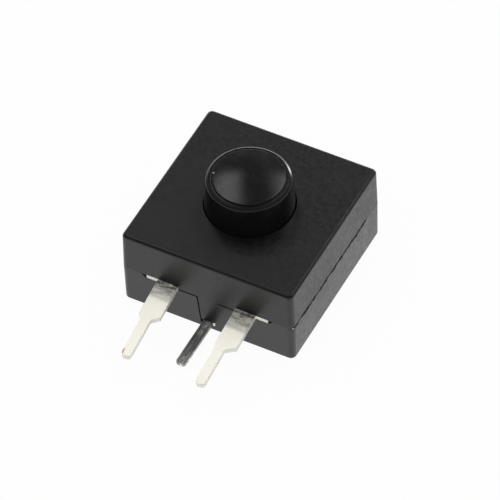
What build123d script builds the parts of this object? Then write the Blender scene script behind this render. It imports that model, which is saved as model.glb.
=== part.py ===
"""Self-locking pushbutton switch, 12 mm square, with three pins that leave its front side.

Pressing the button pushes a toothed rotor down against its spring. The rotor turns on by one
tooth and takes a sprung contact plate with it, which bridges the middle terminal to the left
one, to the right one or to neither.

Frame: origin at the centre of the underside, on the button's axis; +Z up through the button;
-Y towards the pins. All lengths are millimetres and all angles are degrees.
"""
from build123d import *
import math
import os

# ---- housing ---------------------------------------------------------------------------
body_side = 12.0  # square outline at the parting plane
base_height = 3.0  # underside to parting plane
cover_height = 2.82  # parting plane to the flat top
side_wall = 1.0
roof_thickness = 0.87
floor_thickness = 0.9
corner_radius = 0.4  # upright corners
top_edge_radius = 0.2
bottom_edge_chamfer = 0.1
cover_draft = 1.2  # lean of the cover's sides
base_draft = 0.5  # lean of the base's sides
cavity_corner_radius = 0.3

# corner posts that join cover and base
post_radius = 0.9
post_inset = 1.4  # post centre, in from both outer faces
peg_radius = 0.45
peg_length = 0.8
peg_clearance = 0.03
peg_lead = 0.12  # chamfer at the peg's end

# ---- terminals -------------------------------------------------------------------------
sheet = 0.32  # thickness of the terminal strip
outer_pin_offset = 2.715  # centre of an outer pin from the middle plane
pin_shoulder_width = 1.42  # wide part next to the housing
pin_shoulder_length = 2.55
pin_shoulder_chamfer = 0.4  # length of the sloping shoulder
pin_tip_width = 0.65  # narrow part that goes in the board
outer_pin_length = 5.64  # from the housing's front face to the tip of the left pin
pin_tip_radius = 0.26
left_pin_droop = 12.0  # fall of the left pin below the horizontal
right_pin_droop = 8.0
right_pin_advance = 0.18  # the right pin is folded this much further out
left_tip_shift = 0.11  # narrow part of the left pin, towards -X of its wide part
right_tip_shift = 0.24
shoulder_skew = 0.15  # the shoulders on the +X side are sheared this much nearer the housing
anchor_reach = 0.82  # outer ear of the anchor plate beyond the pin's outer edge
strip_width = 1.3  # strip inside the housing
strip_bend_radius = 0.32  # centre line of the strip's bends
bend_standoff = 0.06  # an outer pin turns down this far in front of the housing
slot_end_slope = 0.36  # length of the sloping end of the slot for the terminals
fit_gap = 0.04  # gap round a terminal in its groove

middle_pin_width = 0.66
middle_pin_reach = 3.74  # from the housing's front face to the tip
middle_pin_rise = 0.4  # underside of the middle pin above the housing's underside
middle_tip_chamfer = 0.12
middle_barb = 0.17  # stop on one side of the middle terminal, inside the wall
middle_barb_length = 0.75
middle_pad_radius = 0.8
pivot_radius = 0.42  # dome that carries the contact plate
face_setback = 0.03  # how far fitted-in faces lie behind the housing's front face

# tongue and tab of the cover that close the front wall
tongue_gap = 0.11  # thin line left open under the tongue
tab_top_width = 1.46
tab_bottom_width = 1.02
tab_clearance = 0.045
tab_shift = 0.035  # the tab bears on the right side of its notch
witness_step = 0.02

# ---- contacts --------------------------------------------------------------------------
contact_circle_radius = 3.1
contact_radius = 0.5
contact_head = 0.2
contact_shank_radius = 0.24
contact_upset_radius = 0.36
contact_upset = 0.08
contact_gap = 0.02  # between a passing and a fixed contact
left_contact_angle = 210.0
right_contact_angle = 330.0
pad_margin = 0.2  # strip beyond the edge of a contact

plate_thickness = 0.25
plate_hub_radius = 1.87
plate_arm_count = 4
plate_arm_width = 1.5
drive_tab_width = 0.9
drive_tab_angle = 45.0
drive_tab_grip = 0.35  # how far the drive tab stands in the rotor's web at rest
drive_tab_clearance = 0.05

# ---- button, rotor and ratchet ---------------------------------------------------------
stroke = 1.3
button_radius = 2.88  # guided part
button_clearance = 0.06
rim_inset = 0.18  # how far the rim round the dome stands inside the guided part
rim_radius = button_radius - rim_inset  # outside of the rim, without its rounding
rim_height = 2.28  # top of the rim above the housing's top
rim_round = 0.24  # rounding of the rim's outer edge
rim_width = 0.25
groove_slope = 0.04
groove_radius = rim_radius - rim_width - groove_slope  # fine groove between the rim and the dome
groove_width = 0.1  # from the bottom of the groove to the dome's edge
groove_depth = 0.05
dome_radius = groove_radius - groove_width
dome_edge_rise = 0.1  # edge of the dome above the rim
dome_edge_round = 0.08
crown_rise = 0.34  # middle of the dome above the rim
button_pocket_radius = 2.2
button_roof = 1.35  # thickness over the pocket, at the middle
stem_radius = 0.6
stem_clearance = 0.05
stem_reach = 0.4  # stem below the rotor's web

rib_count = 12
rib_depth = 0.48
rib_play = 1.0  # degrees free at each side of a rib
guide_wall = 0.7
guide_drop = 0.8  # guide tube below the parting plane
flange_thickness = 0.45
end_play = 0.03
tooth_height = 0.3
tooth_gap = 0.03
rotor_clearance = 0.06
rotor_wall_radius = 2.05  # inside of the rotor's wall
web_thickness = 0.4
sweep_gap = 0.07  # rotor over the plate's rivets, when fully pressed

spring_radius = 1.2
spring_wire = 0.18
spring_turns = 3.5
spring_facets = 6  # flats round the modelled wire
spring_seat_gap = 0.02

# ---- heights and radii that follow ------------------------------------------------------
half_side = body_side / 2
inner_half = half_side - side_wall
body_top = base_height + cover_height
roof_underside = body_top - roof_thickness
slot_floor = base_height - sheet
strip_floor = floor_thickness - sheet
fixed_contact_top = floor_thickness + contact_head
plate_bottom = fixed_contact_top + contact_gap + contact_head
plate_top = plate_bottom + plate_thickness
rotor_bottom = plate_top + contact_upset + sweep_gap + stroke

bore_radius = button_radius + button_clearance
guide_radius = bore_radius + rib_depth
rotor_radius = guide_radius - rotor_clearance
tooth_pitch = 360 / rib_count
tooth_slope = tooth_height / (rotor_radius * math.sin(math.radians(tooth_pitch)))
flange_top = roof_underside - end_play
flange_bottom = flange_top - flange_thickness
crown_bottom = flange_bottom - tooth_gap - tooth_height
web_bottom = crown_bottom - web_thickness
rim_top = body_top + rim_height
crown_top = rim_top + crown_rise
FUSE = 0.05  # how deep joined pieces of one moulding run into each other

os.makedirs("parts", exist_ok=True)


# ---- shared shapes ----------------------------------------------------------------------
def upright(profile, low, high):
    """Raise a flat outline from one height to another."""
    return extrude(Plane.XY.offset(low) * profile, amount=high - low)


def across_front(points, front, back):
    """Prism whose section is drawn on the front face, as (x, z) points."""
    outline = make_face(Polyline(*points, close=True))
    return extrude(Plane.XZ.offset(-front) * outline, amount=front - back)


def tube(outer, inner, low, high):
    """Round wall between two heights."""
    return upright(Circle(outer) - Circle(inner), low, high)


def ring_sector(inner, outer, start, span):
    """Part of a flat ring that starts at one angle and runs on through another."""
    outside = CenterArc((0, 0), outer, start, span)
    inside = CenterArc((0, 0), inner, start, span)
    first_side = Line(inside @ 0, outside @ 0)
    last_side = Line(inside @ 1, outside @ 1)
    return make_face([outside, inside, first_side, last_side])


def ramp_plane(start, height):
    """Plane of a ratchet ramp: level along the ray at start, rising with the angle."""
    ray = math.radians(start)
    normal = (tooth_slope * math.sin(ray), -tooth_slope * math.cos(ray), 1)
    return Plane(origin=(0, 0, height), z_dir=normal)


def round_copies(piece, count):
    """Copies of a piece spaced evenly about the button's axis."""
    return [Rot(0, 0, 360 / count * index) * piece for index in range(count)]


def corner_points():
    """Centres of the four corner posts."""
    reach = half_side - post_inset
    return [Pos(x, y) for x in (-reach, reach) for y in (-reach, reach)]


def block(height, draft, upward):
    """Square half of the housing, drawn in from the parting plane."""
    direction = 1 if upward else -1
    face = Plane(origin=(0, 0, base_height), x_dir=(1, 0, 0), z_dir=(0, 0, direction))
    outline = RectangleRounded(body_side, body_side, corner_radius)
    return extrude(face * outline, amount=height, taper=draft)


def cavity_outline():
    """Inside of the housing's walls."""
    return RectangleRounded(2 * inner_half, 2 * inner_half, cavity_corner_radius)


# ---- terminals --------------------------------------------------------------------------
def contact_place(angle, radius=contact_circle_radius):
    """Point on the contact circle."""
    return (radius * math.cos(math.radians(angle)), radius * math.sin(math.radians(angle)))


def strip_route(side, margin=0.0):
    """Plan of the strip inside the housing, from the front wall to its contact."""
    contact = contact_place(left_contact_angle if side < 0 else right_contact_angle)
    root = (side * outer_pin_offset, -inner_half + sheet)
    width = strip_width + 2 * margin
    run = math.dist(root, contact)
    turn = math.degrees(math.atan2(contact[1] - root[1], contact[0] - root[0]))
    middle = ((root[0] + contact[0]) / 2, (root[1] + contact[1]) / 2)
    capsule = Pos(*middle) * Rot(0, 0, turn) * SlotCenterToCenter(run, width)
    pad = Pos(*contact) * Circle(contact_radius + pad_margin + margin)
    upper = Pos(root[0], root[1] - sheet) * Rectangle(width, 2 * sheet)
    return capsule + pad + upper


def blade_outline(side, droop, advance, tip_shift):
    """Plan of an outer pin outside the housing, foreshortened by its droop."""
    reach = math.cos(math.radians(droop))
    wide = pin_shoulder_width / 2
    narrow = pin_tip_width / 2
    shoulder = (pin_shoulder_length + advance) * reach
    neck = shoulder + pin_shoulder_chamfer * reach
    tip = (outer_pin_length + advance) * reach
    skew = shoulder_skew * reach
    wide_part = Polyline((-wide, FUSE), (-wide, -shoulder), (-narrow - tip_shift, -neck),
                         (narrow - tip_shift, skew - neck), (wide, skew - shoulder), (wide, FUSE), close=True)
    root = neck - skew - FUSE
    narrow_part = Pos(-tip_shift, -(root + tip) / 2) * Rectangle(pin_tip_width, tip - root)
    ends = narrow_part.vertices().sort_by(Axis.Y)[:2]
    narrow_part = fillet(ends, min(pin_tip_radius, 0.9 * narrow))
    return Pos(side * outer_pin_offset, -half_side) * (make_face(wide_part) + narrow_part)


def anchor_outline(side):
    """Plan of the plate that lies in the slot of the front wall."""
    inner_edge = outer_pin_offset - pin_shoulder_width / 2
    outer_edge = outer_pin_offset + pin_shoulder_width / 2 + anchor_reach
    front = -half_side + face_setback
    back = -inner_half - fit_gap
    middle = (side * (inner_edge + outer_edge) / 2, (front + back) / 2)
    return Pos(*middle) * Rectangle(outer_edge - inner_edge, back - front)


def folded_strip(droop):
    """Side view of an outer terminal, swept across the housing."""
    level = slot_floor + sheet / 2
    longest = outer_pin_length + right_pin_advance
    fall = longest * math.sin(math.radians(droop))
    reach = longest * math.cos(math.radians(droop))
    upright_y = -inner_half + fit_gap + sheet / 2
    low = strip_floor + sheet / 2
    route = [(-half_side - reach - sheet, level - fall - sheet * math.tan(math.radians(droop))),
             (-half_side - bend_standoff, level), (upright_y, level), (upright_y, low), (0, low)]
    line = FilletPolyline(*route, radius=strip_bend_radius)
    side_view = Plane.YZ * trace(line, line_width=sheet)
    return extrude(side_view, amount=half_side, both=True)


def outer_terminal(side):
    """Pin, anchor plate and inner strip, folded from one piece of sheet."""
    left = side < 0
    droop = left_pin_droop if left else right_pin_droop
    tip_shift = left_tip_shift if left else right_tip_shift
    blade = blade_outline(side, droop, 0.0 if left else right_pin_advance, tip_shift)
    plan = blade + anchor_outline(side) + strip_route(side)
    contact = contact_place(left_contact_angle if left else right_contact_angle)
    plan -= Pos(*contact) * Circle(contact_shank_radius)
    return folded_strip(droop) & upright(plan, 0, base_height)


def middle_plan(margin=0.0):
    """Plan of the middle terminal inside the housing."""
    run = inner_half + side_wall - middle_barb_length
    strip = Pos(0, -run / 2) * Rectangle(middle_pin_width + 2 * margin, run)
    return strip + Circle(middle_pad_radius + margin)


def middle_terminal():
    """Straight strip under the contact plate, with a pad and a pivot dome."""
    length = half_side + middle_pin_reach
    pin = Pos(0, -length / 2) * Rectangle(middle_pin_width, length)
    pin = chamfer(pin.vertices().sort_by(Axis.Y)[:2], middle_tip_chamfer)
    barb_middle = (middle_barb / 2, -half_side + face_setback + middle_barb_length / 2)
    barb = Pos(*barb_middle) * Rectangle(middle_pin_width + middle_barb, middle_barb_length)
    strip = upright(pin + barb + middle_plan(), middle_pin_rise, middle_pin_rise + sheet)
    return strip + pivot_dome()


def pivot_dome():
    """Rounded stud on which the contact plate turns."""
    tip = plate_bottom - contact_gap
    stud = upright(Circle(pivot_radius), middle_pin_rise + sheet - FUSE, tip)
    return chamfer(stud.edges().sort_by(Axis.Z)[-1], 0.5 * pivot_radius)


# ---- housing ----------------------------------------------------------------------------
def slot_section():
    """Opening of the front wall for the two anchor plates, as (x, z) points."""
    ear = outer_pin_offset + pin_shoulder_width / 2 + anchor_reach + fit_gap
    above = base_height + FUSE
    return [(-ear - slot_end_slope, above), (-ear, slot_floor), (ear, slot_floor),
            (ear + slot_end_slope, above)]


def notch_half_width(height):
    """Half the width of the tab's notch, which narrows towards the underside."""
    along = (slot_floor - height) / (slot_floor - middle_pin_rise)
    return (tab_top_width + (tab_bottom_width - tab_top_width) * along) / 2


def base():
    """Lower moulding: floor, walls, posts and the seats of the terminals."""
    body = block(base_height, base_draft, upward=False)
    underside = body.faces().sort_by(Axis.Z)[0]
    body = chamfer(underside.edges(), bottom_edge_chamfer)
    body -= upright(cavity_outline(), floor_thickness, base_height + FUSE)
    hole = Circle(peg_radius + peg_clearance)
    hole_floor = base_height - peg_length - peg_clearance
    for place in corner_points():
        body += upright(place * Circle(post_radius), floor_thickness - FUSE, base_height)
        body -= upright(place * hole, hole_floor, base_height + FUSE)
    body -= across_front(slot_section(), -half_side - FUSE, -inner_half)
    low = notch_half_width(middle_pin_rise)
    high = notch_half_width(base_height)
    notch = [(-high, base_height + FUSE), (-low, middle_pin_rise), (low, middle_pin_rise),
             (high, base_height + FUSE)]
    body -= across_front(notch, -half_side - FUSE, -inner_half)
    for side in (-1, 1):
        body -= upright(strip_route(side, fit_gap) & cavity_outline(), strip_floor, base_height)
    body -= upright(middle_plan(fit_gap) & cavity_outline(), middle_pin_rise, floor_thickness + FUSE)
    return body


def tongue_and_tab():
    """Bar that closes the slot between the pins, with the tab over the middle pin."""
    bar_half = outer_pin_offset - pin_shoulder_width / 2 - fit_gap
    bar_low = slot_floor + tongue_gap
    bar = [(-bar_half, base_height + FUSE), (-bar_half, bar_low), (bar_half, bar_low),
           (bar_half, base_height + FUSE)]
    tab_low = middle_pin_rise + sheet + contact_gap
    wide = notch_half_width(bar_low) - tab_clearance
    slim = notch_half_width(tab_low) - tab_clearance
    tab = [(tab_shift - wide, bar_low + FUSE), (tab_shift - slim, tab_low),
           (tab_shift + slim, tab_low), (tab_shift + wide, bar_low + FUSE)]
    back = -inner_half
    return across_front(bar, -half_side, back) + across_front(tab, -half_side + witness_step, back)


def guide_rib():
    """One fixed ratchet rib: its sloping lower end is the fixed tooth."""
    span = tooth_pitch / 2 - 2 * rib_play
    sector = ring_sector(bore_radius - FUSE, guide_radius + FUSE, rib_play, span)
    blank = upright(sector, crown_bottom, roof_underside + FUSE)
    return split(blank, bisect_by=ramp_plane(0, crown_bottom + tooth_gap), keep=Keep.TOP)


def cover():
    """Upper moulding: roof, walls, posts with pegs, guide tube with its ribs, and the tab."""
    body = block(cover_height, cover_draft, upward=True)
    top = body.faces().sort_by(Axis.Z)[-1]
    body = fillet(top.edges(), top_edge_radius)
    body -= upright(cavity_outline(), base_height - FUSE, roof_underside)
    for place in corner_points():
        body += upright(place * Circle(post_radius), base_height, roof_underside + FUSE)
        peg = upright(place * Circle(peg_radius), base_height - peg_length, base_height + FUSE)
        body += chamfer(peg.edges().sort_by(Axis.Z)[0], peg_lead)
    body += tube(guide_radius + guide_wall, guide_radius, base_height - guide_drop, roof_underside + FUSE)
    body += round_copies(guide_rib(), rib_count)
    body -= upright(Circle(bore_radius), crown_bottom, body_top + FUSE)
    return body + tongue_and_tab()


# ---- button and rotor ---------------------------------------------------------------------
def button_section():
    """Half section of the button: dome, groove, rim, sloping side, skirt, pocket and stem."""
    skirt_end = crown_bottom + tooth_gap + 1.5 * tooth_height
    pocket_top = crown_top - button_roof
    stem_end = web_bottom - stem_reach
    dome_edge = (dome_radius, rim_top + dome_edge_rise)
    halfway = (dome_radius / 2, crown_top - (crown_rise - dome_edge_rise) / 4)
    dome = ThreePointArc((0, crown_top), halfway, dome_edge)
    rim = (rim_radius, rim_top)
    side = Polyline(dome_edge, (groove_radius, rim_top - groove_depth), (rim_radius - rim_width, rim_top), rim,
                    (button_radius, body_top), (button_radius, skirt_end), (button_pocket_radius, skirt_end),
                    (button_pocket_radius, pocket_top), (stem_radius, pocket_top), (stem_radius, stem_end),
                    (0, stem_end), (0, crown_top))
    outline = Sketch() + make_face(dome.edges() + side.edges())
    outline = fillet(outline.vertices().sort_by_distance(dome_edge)[0], dome_edge_round)
    return fillet(outline.vertices().sort_by_distance(rim)[0], rim_round)


def cam_tooth():
    """One tooth of the button's crown, half a pitch on from the rotor's teeth."""
    blank = upright(ring_sector(button_pocket_radius, button_radius, tooth_pitch / 2, tooth_pitch),
                    crown_bottom, crown_bottom + tooth_gap + 1.5 * tooth_height + FUSE)
    return split(blank, bisect_by=ramp_plane(0, crown_bottom + tooth_gap), keep=Keep.TOP)


def button():
    """Moulded button with the lugs that slide between the ribs and the cam teeth below."""
    body = revolve(Plane.XZ * button_section(), Axis.Z)
    lug_start = tooth_pitch / 2 + rib_play
    lug_span = tooth_pitch / 2 - 2 * rib_play
    lug = upright(ring_sector(button_radius - FUSE, guide_radius - button_clearance, lug_start, lug_span),
                  flange_bottom, flange_top)
    body += round_copies(lug, rib_count)
    return body + round_copies(cam_tooth(), rib_count)


def drive_tab(low, high, margin=0.0):
    """Upright tab that couples the contact plate to the rotor."""
    middle = plate_hub_radius - plate_thickness / 2
    section = Rectangle(plate_thickness + 2 * margin, drive_tab_width + 2 * margin)
    return upright(Rot(0, 0, drive_tab_angle) * Pos(middle, 0) * section, low, high)


def rotor_blank():
    """Turned form of the rotor: wall, web and a plain crown, before the teeth are cut."""
    crown_end = crown_bottom + tooth_height
    bore = stem_radius + stem_clearance
    half = Polyline((bore, web_bottom), (rotor_wall_radius, web_bottom), (rotor_wall_radius, rotor_bottom),
                    (rotor_radius, rotor_bottom), (rotor_radius, crown_end), (rotor_wall_radius, crown_end),
                    (rotor_wall_radius, crown_bottom), (bore, crown_bottom), close=True)
    return revolve(Plane.XZ * make_face(half), Axis.Z)


def rotor():
    """Ratchet rotor with a crown of saw teeth and slots for the drive tabs."""
    over = upright(ring_sector(rotor_wall_radius - FUSE, rotor_radius + FUSE, 0, tooth_pitch),
                   crown_bottom - FUSE, crown_bottom + 2 * tooth_height)
    tooth_space = split(over, bisect_by=ramp_plane(0, crown_bottom), keep=Keep.TOP)
    body = rotor_blank() - round_copies(tooth_space, rib_count)
    slot = drive_tab(web_bottom - FUSE, crown_bottom + FUSE, drive_tab_clearance)
    return body - round_copies(slot, 2)


def return_spring():
    """Compression spring between the contact plate and the rotor's web."""
    low = plate_top + spring_seat_gap + spring_wire / 2
    high = web_bottom - spring_seat_gap - spring_wire / 2
    coil = Pos(0, 0, low) * Helix((high - low) / spring_turns, high - low, spring_radius)
    section = Plane(origin=coil @ 0, z_dir=coil % 0) * RegularPolygon(spring_wire / 2, spring_facets)
    return sweep(section, path=coil)


# ---- contact plate and contacts -------------------------------------------------------------
def contact_plate():
    """Sprung cross of sheet metal with two upright drive tabs."""
    arm = Pos(contact_circle_radius / 2, 0) * Rectangle(contact_circle_radius, plate_arm_width)
    arm += Pos(contact_circle_radius, 0) * Circle(plate_arm_width / 2)
    arm -= Pos(contact_circle_radius, 0) * Circle(contact_shank_radius)
    outline = Sketch() + Circle(plate_hub_radius) + round_copies(arm, plate_arm_count)
    body = upright(outline, plate_bottom, plate_top)
    tab = drive_tab(plate_bottom + FUSE, web_bottom + drive_tab_grip)
    return body + round_copies(tab, 2)


def fixed_contact(angle):
    """Rivet in the strip's end, with its head up."""
    head = upright(Circle(contact_radius), floor_thickness, fixed_contact_top)
    rivet = head + upright(Circle(contact_shank_radius), strip_floor, floor_thickness)
    return Pos(*contact_place(angle)) * rivet


def moving_contact(angle):
    """Rivet in an arm of the contact plate, with its head down."""
    head = upright(Circle(contact_radius), plate_bottom - contact_head, plate_bottom)
    shank = upright(Circle(contact_shank_radius), plate_bottom, plate_top)
    upset = upright(Circle(contact_upset_radius), plate_top, plate_top + contact_upset)
    return Pos(*contact_place(angle)) * (head + shank + upset)


# ---- write one file for each piece ------------------------------------------------------------
pieces = {
    "cover": cover(),
    "base": base(),
    "button": button(),
    "rotor": rotor(),
    "contact_plate": contact_plate(),
    "return_spring": return_spring(),
    "left_terminal": outer_terminal(-1),
    "right_terminal": outer_terminal(1),
    "middle_terminal": middle_terminal(),
    "left_fixed_contact": fixed_contact(left_contact_angle),
    "right_fixed_contact": fixed_contact(right_contact_angle),
}
for number in range(plate_arm_count):
    pieces[f"moving_contact_{number + 1}"] = moving_contact(360 / plate_arm_count * number)

for name, piece in pieces.items():
    export_step(piece, f"parts/{name}.step")
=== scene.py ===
"""Finished look of a 12 mm self-locking pushbutton switch, on a white studio table.

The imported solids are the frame. Each operator dresses one piece or one group of like pieces,
in the same frame and in metres: origin at the centre of the underside, +Z up through the
button, -Y towards the three pins. Sizes written in millimetres are multiplied by MM.
"""
import math

import bmesh
import bpy
from bpy.props import FloatProperty, FloatVectorProperty, IntProperty, PointerProperty
from mathutils import Matrix, Vector


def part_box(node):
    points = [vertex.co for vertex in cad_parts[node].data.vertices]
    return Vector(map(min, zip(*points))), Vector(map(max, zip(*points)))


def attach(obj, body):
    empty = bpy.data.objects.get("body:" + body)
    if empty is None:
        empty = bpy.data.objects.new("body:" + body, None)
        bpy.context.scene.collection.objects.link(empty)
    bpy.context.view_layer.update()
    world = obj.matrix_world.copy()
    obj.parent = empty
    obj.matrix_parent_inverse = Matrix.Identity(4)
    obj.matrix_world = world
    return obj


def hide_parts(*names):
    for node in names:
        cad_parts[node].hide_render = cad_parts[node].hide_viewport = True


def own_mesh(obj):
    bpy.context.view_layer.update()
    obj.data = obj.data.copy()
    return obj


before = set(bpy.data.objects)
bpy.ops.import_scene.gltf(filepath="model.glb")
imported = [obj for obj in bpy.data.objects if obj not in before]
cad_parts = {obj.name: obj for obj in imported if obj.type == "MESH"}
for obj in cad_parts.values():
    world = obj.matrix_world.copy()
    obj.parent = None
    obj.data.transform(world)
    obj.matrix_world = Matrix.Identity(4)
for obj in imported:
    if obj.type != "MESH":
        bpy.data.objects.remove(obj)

bl_info = {
    "name": "Pushbutton switch finish",
    "version": (1, 0, 0),
    "blender": (4, 5, 0),
    "location": "3D View > Sidebar > Switch",
    "description": "Dresses the solids of a self-locking pushbutton switch and sets its studio",
    "category": "Object",
}

MM = 0.001
MICRON = 0.001 * MM
FULL_TURN = 2 * math.pi
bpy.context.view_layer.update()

# meshes
WELD = 1e-7  # corners of a solid's triangles nearer than this are one corner
FLAT = math.radians(0.4)  # faces that turn less than this are one flat face
SHARP_STEP = 50.0  # degrees between faces that stay a sharp step in the shading
MOULDED_STEP = 38.0  # the same on the button
MOULDED_CORNER = 40.0  # degrees between faces whose edge is rounded on the housing
INNER_EDGE = 0.02 * MM  # rounding of the edges inside the housing
BUTTON_STEPS = 180  # faces round the button
DOME_STEPS = 36
RIVET_STEPS = 32

# the button below the housing's top
BARREL_RADIUS = 2.88 * MM
SKIRT_END = 4.62 * MM  # level of the barrel's lower end
POCKET_RADIUS = 2.2 * MM
BUTTON_ROOF = 1.35 * MM  # thickness over the pocket, at the middle
STEM_RADIUS = 0.6 * MM
STEM_CHAMFER = 0.05 * MM
GROOVE_SLOPE = 0.03 * MM  # run of the rim's inner side
GROOVE_ROUNDS = (0.03 * MM, 0.02 * MM)  # at the dome's foot and at the rim's
CREST_ROUNDS = (0.01 * MM, 0.04 * MM)  # inner and outer edge of the rim's level top
LUG = {"inner": 2.84 * MM, "outer": 3.36 * MM, "low": 4.47 * MM, "rise": 0.0, "high": 4.92 * MM}
LUG_PLAY = math.radians(1.0)  # at each side of a lug
TOOTH = {"inner": POCKET_RADIUS, "outer": BARREL_RADIUS, "low": 4.17 * MM, "rise": 0.26 * MM,
         "high": 4.65 * MM}

# contact rivets and return spring
RIVET_SHANK = 0.24 * MM
RIVET_HEAD = 0.2 * MM  # thickness of a fixed rivet's head
HEAD_CURVE = ((0.6, 0.01 * MM), (0.88, 0.05 * MM), (1.0, 0.11 * MM))  # share of radius, step back
FLARE = 1.5  # spread of a moving rivet's closed end, in shanks
FLARE_TOP = 1.25
FLARE_THICKNESS = 0.08 * MM
FLARE_CHAMFER = 0.03 * MM
SPRING_GAP = 0.01 * MM  # between the wire and the outside of its solid

# small marks
CORNER_GLINT = (5.97 * MM, -5.86 * MM, 2.9 * MM)  # painted glint of a small burr on the front corner, just under the parting line
CORNER_GLINT_SIZE = 0.1 * MM
CORNER_GLINT_COLOUR = (0.6, 0.6, 0.6)
DUST_GRAIN = (-2.10 * MM, -0.69 * MM, 8.23 * MM)  # on the dome
DUST_GRAIN_SIZE = 0.06 * MM
DUST_GRAIN_COLOUR = (0.5, 0.5, 0.5)
# painted shadow in the gap between cover and base
SEAM_SHADOW = (0.0015, 0.0015, 0.0015)
# darker tone of the pins near the housing
ROOT_DARK_TONE = (0.07, 0.07, 0.065)
# painted dark reflection on the pins' rounded edges
EDGE_DARK_REFLECTION = (0.14, 0.137, 0.125)
FLECK_COLOUR = (0.9, 0.9, 0.88)
# painted highlight on the middle pin's barb
BARB_GLINT_COLOUR = (0.95, 0.95, 0.93)

# studio
CAMERA_TURN = math.radians(29.3)  # the camera's line of sight, from +Y towards -X
CAMERA_PLACE = (0.1049, -0.18686, 0.24645)
CAMERA_AIM = (-0.3225, 0.5737, -0.7529)
CAMERA_UP = (-0.33, 0.6774, 0.6574)
CAMERA_LENS = 372.96  # millimetres, over the sensor's width
CAMERA_SENSOR = 36.0
LAMP_COLOUR = (1.0, 0.985, 0.965)
LAMP_FADE = 0.3  # share of a lamp's width that fades at each edge
LAMP_HEIGHT = 0.5
# each lamp's place across and away from the camera's line of sight, its width and its depth
LEFT_BOX = (-0.125, 0.30, 0.21, 0.54)
RIGHT_BOX = (0.31, 0.29, 0.42, 0.52)
BACK_STRIP = (-0.05, 0.90, 0.90, 0.20)
RIGHT_STRIP = (0.46, 0.79, 0.62, 0.22)
RIGHT_STRIP_SHARE = 2.3  # brightness of the right strip for each unit of the back strip's
BOUNCED_LIGHT = (0.0, 0.0, 1.0, 1.0)
STRIP_STAND = {"height": 0.10, "lean": math.radians(85.0)}
ROOM_COLOUR = (0.94, 0.96, 1.0, 1.0)
TABLE_HALF = 3.0
TABLE_WHITE = 0.955  # share of plain white in what the eye sees of the table


def node_low(node):
    """Lowest corner of a solid."""
    return Vector(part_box(node)[0])


def node_high(node):
    """Highest corner of a solid."""
    return Vector(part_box(node)[1])


# ---- sizes and colours that a user would change ------------------------------------------
def length(label, text, default):
    """Property that holds a length in metres."""
    return FloatProperty(name=label, description=text, default=default, min=0.0, precision=6,
                         unit="LENGTH")


def colour(label, text, default):
    """Property that holds a linear colour."""
    return FloatVectorProperty(name=label, description=text, default=default, size=3, min=0.0,
                               max=1.0, subtype="COLOR")


def light(label, text, default):
    """Property that holds how bright a light looks from the switch."""
    return FloatProperty(name=label, description="Brightness of " + text, default=default, min=0.0)


class SwitchSizes(bpy.types.PropertyGroup):
    """Lengths that the solids leave open."""
    moulded_edge: length("Moulded edge", "Rounding of the moulded edges", 0.03 * MM)
    sheared_edge: length("Sheared edge", "Rounding of the terminals' sheared edges", 0.06 * MM)
    rim_radius: length("Rim radius", "Outside of the rim round the dome", 2.7 * MM)
    rim_height: length("Rim height", "Top of the rim above the housing's top", 2.28 * MM)
    rim_bevel: length("Rim bevel", "Width of the bevel on the rim", 0.165 * MM)
    rim_drop: length("Rim drop", "Height that the bevel loses", 0.121 * MM)
    rim_round: length("Rim round", "Rounding of the rim's outer edge", 0.11 * MM)
    rim_width: length("Rim width", "Width of the rim", 0.18 * MM)
    groove_width: length("Groove width", "Floor between the rim and the dome", 0.15 * MM)
    groove_depth: length("Groove depth", "Depth of that floor below the rim", 0.05 * MM)
    dome_radius: length("Dome radius", "Edge of the dome", 2.31 * MM)
    dome_edge_rise: length("Dome edge rise", "Edge of the dome above the rim", 0.1 * MM)
    dome_edge_round: length("Dome edge round", "Rounding of the dome's edge", 0.015 * MM)
    spring_wire: length("Spring wire", "Thickness of the spring's wire", 0.18 * MM)
    spring_turns: FloatProperty(name="Spring turns", description="Open turns of the spring",
                                default=2.2, min=1.0, max=8.0)
    rib_count: IntProperty(name="Ribs", description="Lugs and cam teeth round the button",
                           default=12, min=3)


class SwitchColours(bpy.types.PropertyGroup):
    """Linear colours of the finishes."""
    cover: colour("Cover", "Black moulding of the cover", (0.0038, 0.0038, 0.0047))
    base: colour("Base", "Black moulding of the base", (0.018, 0.018, 0.019))
    button: colour("Button", "Glossy black moulding of the button", (0.0065, 0.0065, 0.007))
    rotor: colour("Rotor", "Natural white moulding of the rotor", (0.72, 0.70, 0.64))
    tin: colour("Tin", "Bright tin plating of the outer pins", (0.99, 0.98, 0.88))
    middle_tin: colour("Middle pin", "Dull plating of the middle pin", (0.46, 0.46, 0.455))
    bare_metal: colour("Bare metal", "Brass that shows at a sheared tip", (0.50, 0.30, 0.17))
    bronze: colour("Bronze", "Phosphor bronze of the contact plate", (0.76, 0.47, 0.22))
    steel: colour("Spring steel", "Drawn wire of the return spring", (0.52, 0.52, 0.53))
    silver: colour("Silver", "Heads of the contact rivets", (0.88, 0.86, 0.82))
    dust: colour("Dust", "Dust and lint on the mouldings", (0.30, 0.29, 0.27))
    table: colour("Table", "White table under the switch", (0.82, 0.82, 0.82))


class SwitchStudio(bpy.types.PropertyGroup):
    """Light of the studio, as the brightness seen from the switch."""
    left_box: light("Left soft box", "the soft box on the left", 1.8)
    right_box: light("Right soft box", "the soft box on the right", 2.1)
    back_strip: light("Back strip", "the low lamp behind the switch", 3.8)
    bounce: light("Bounce", "the bounced light, which no surface mirrors", 1.38)
    room: light("Room", "the rest of the room", 0.125)


def sizes():
    """The user's sizes."""
    return bpy.context.scene.switch_sizes


def colours():
    """The user's colours."""
    return bpy.context.scene.switch_colours


# ---- node helpers ------------------------------------------------------------------------
FLOAT = "NodeSocketFloat"
VECTOR = "NodeSocketVector"
GEOMETRY = "NodeSocketGeometry"
MATERIAL = "NodeSocketMaterial"


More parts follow.
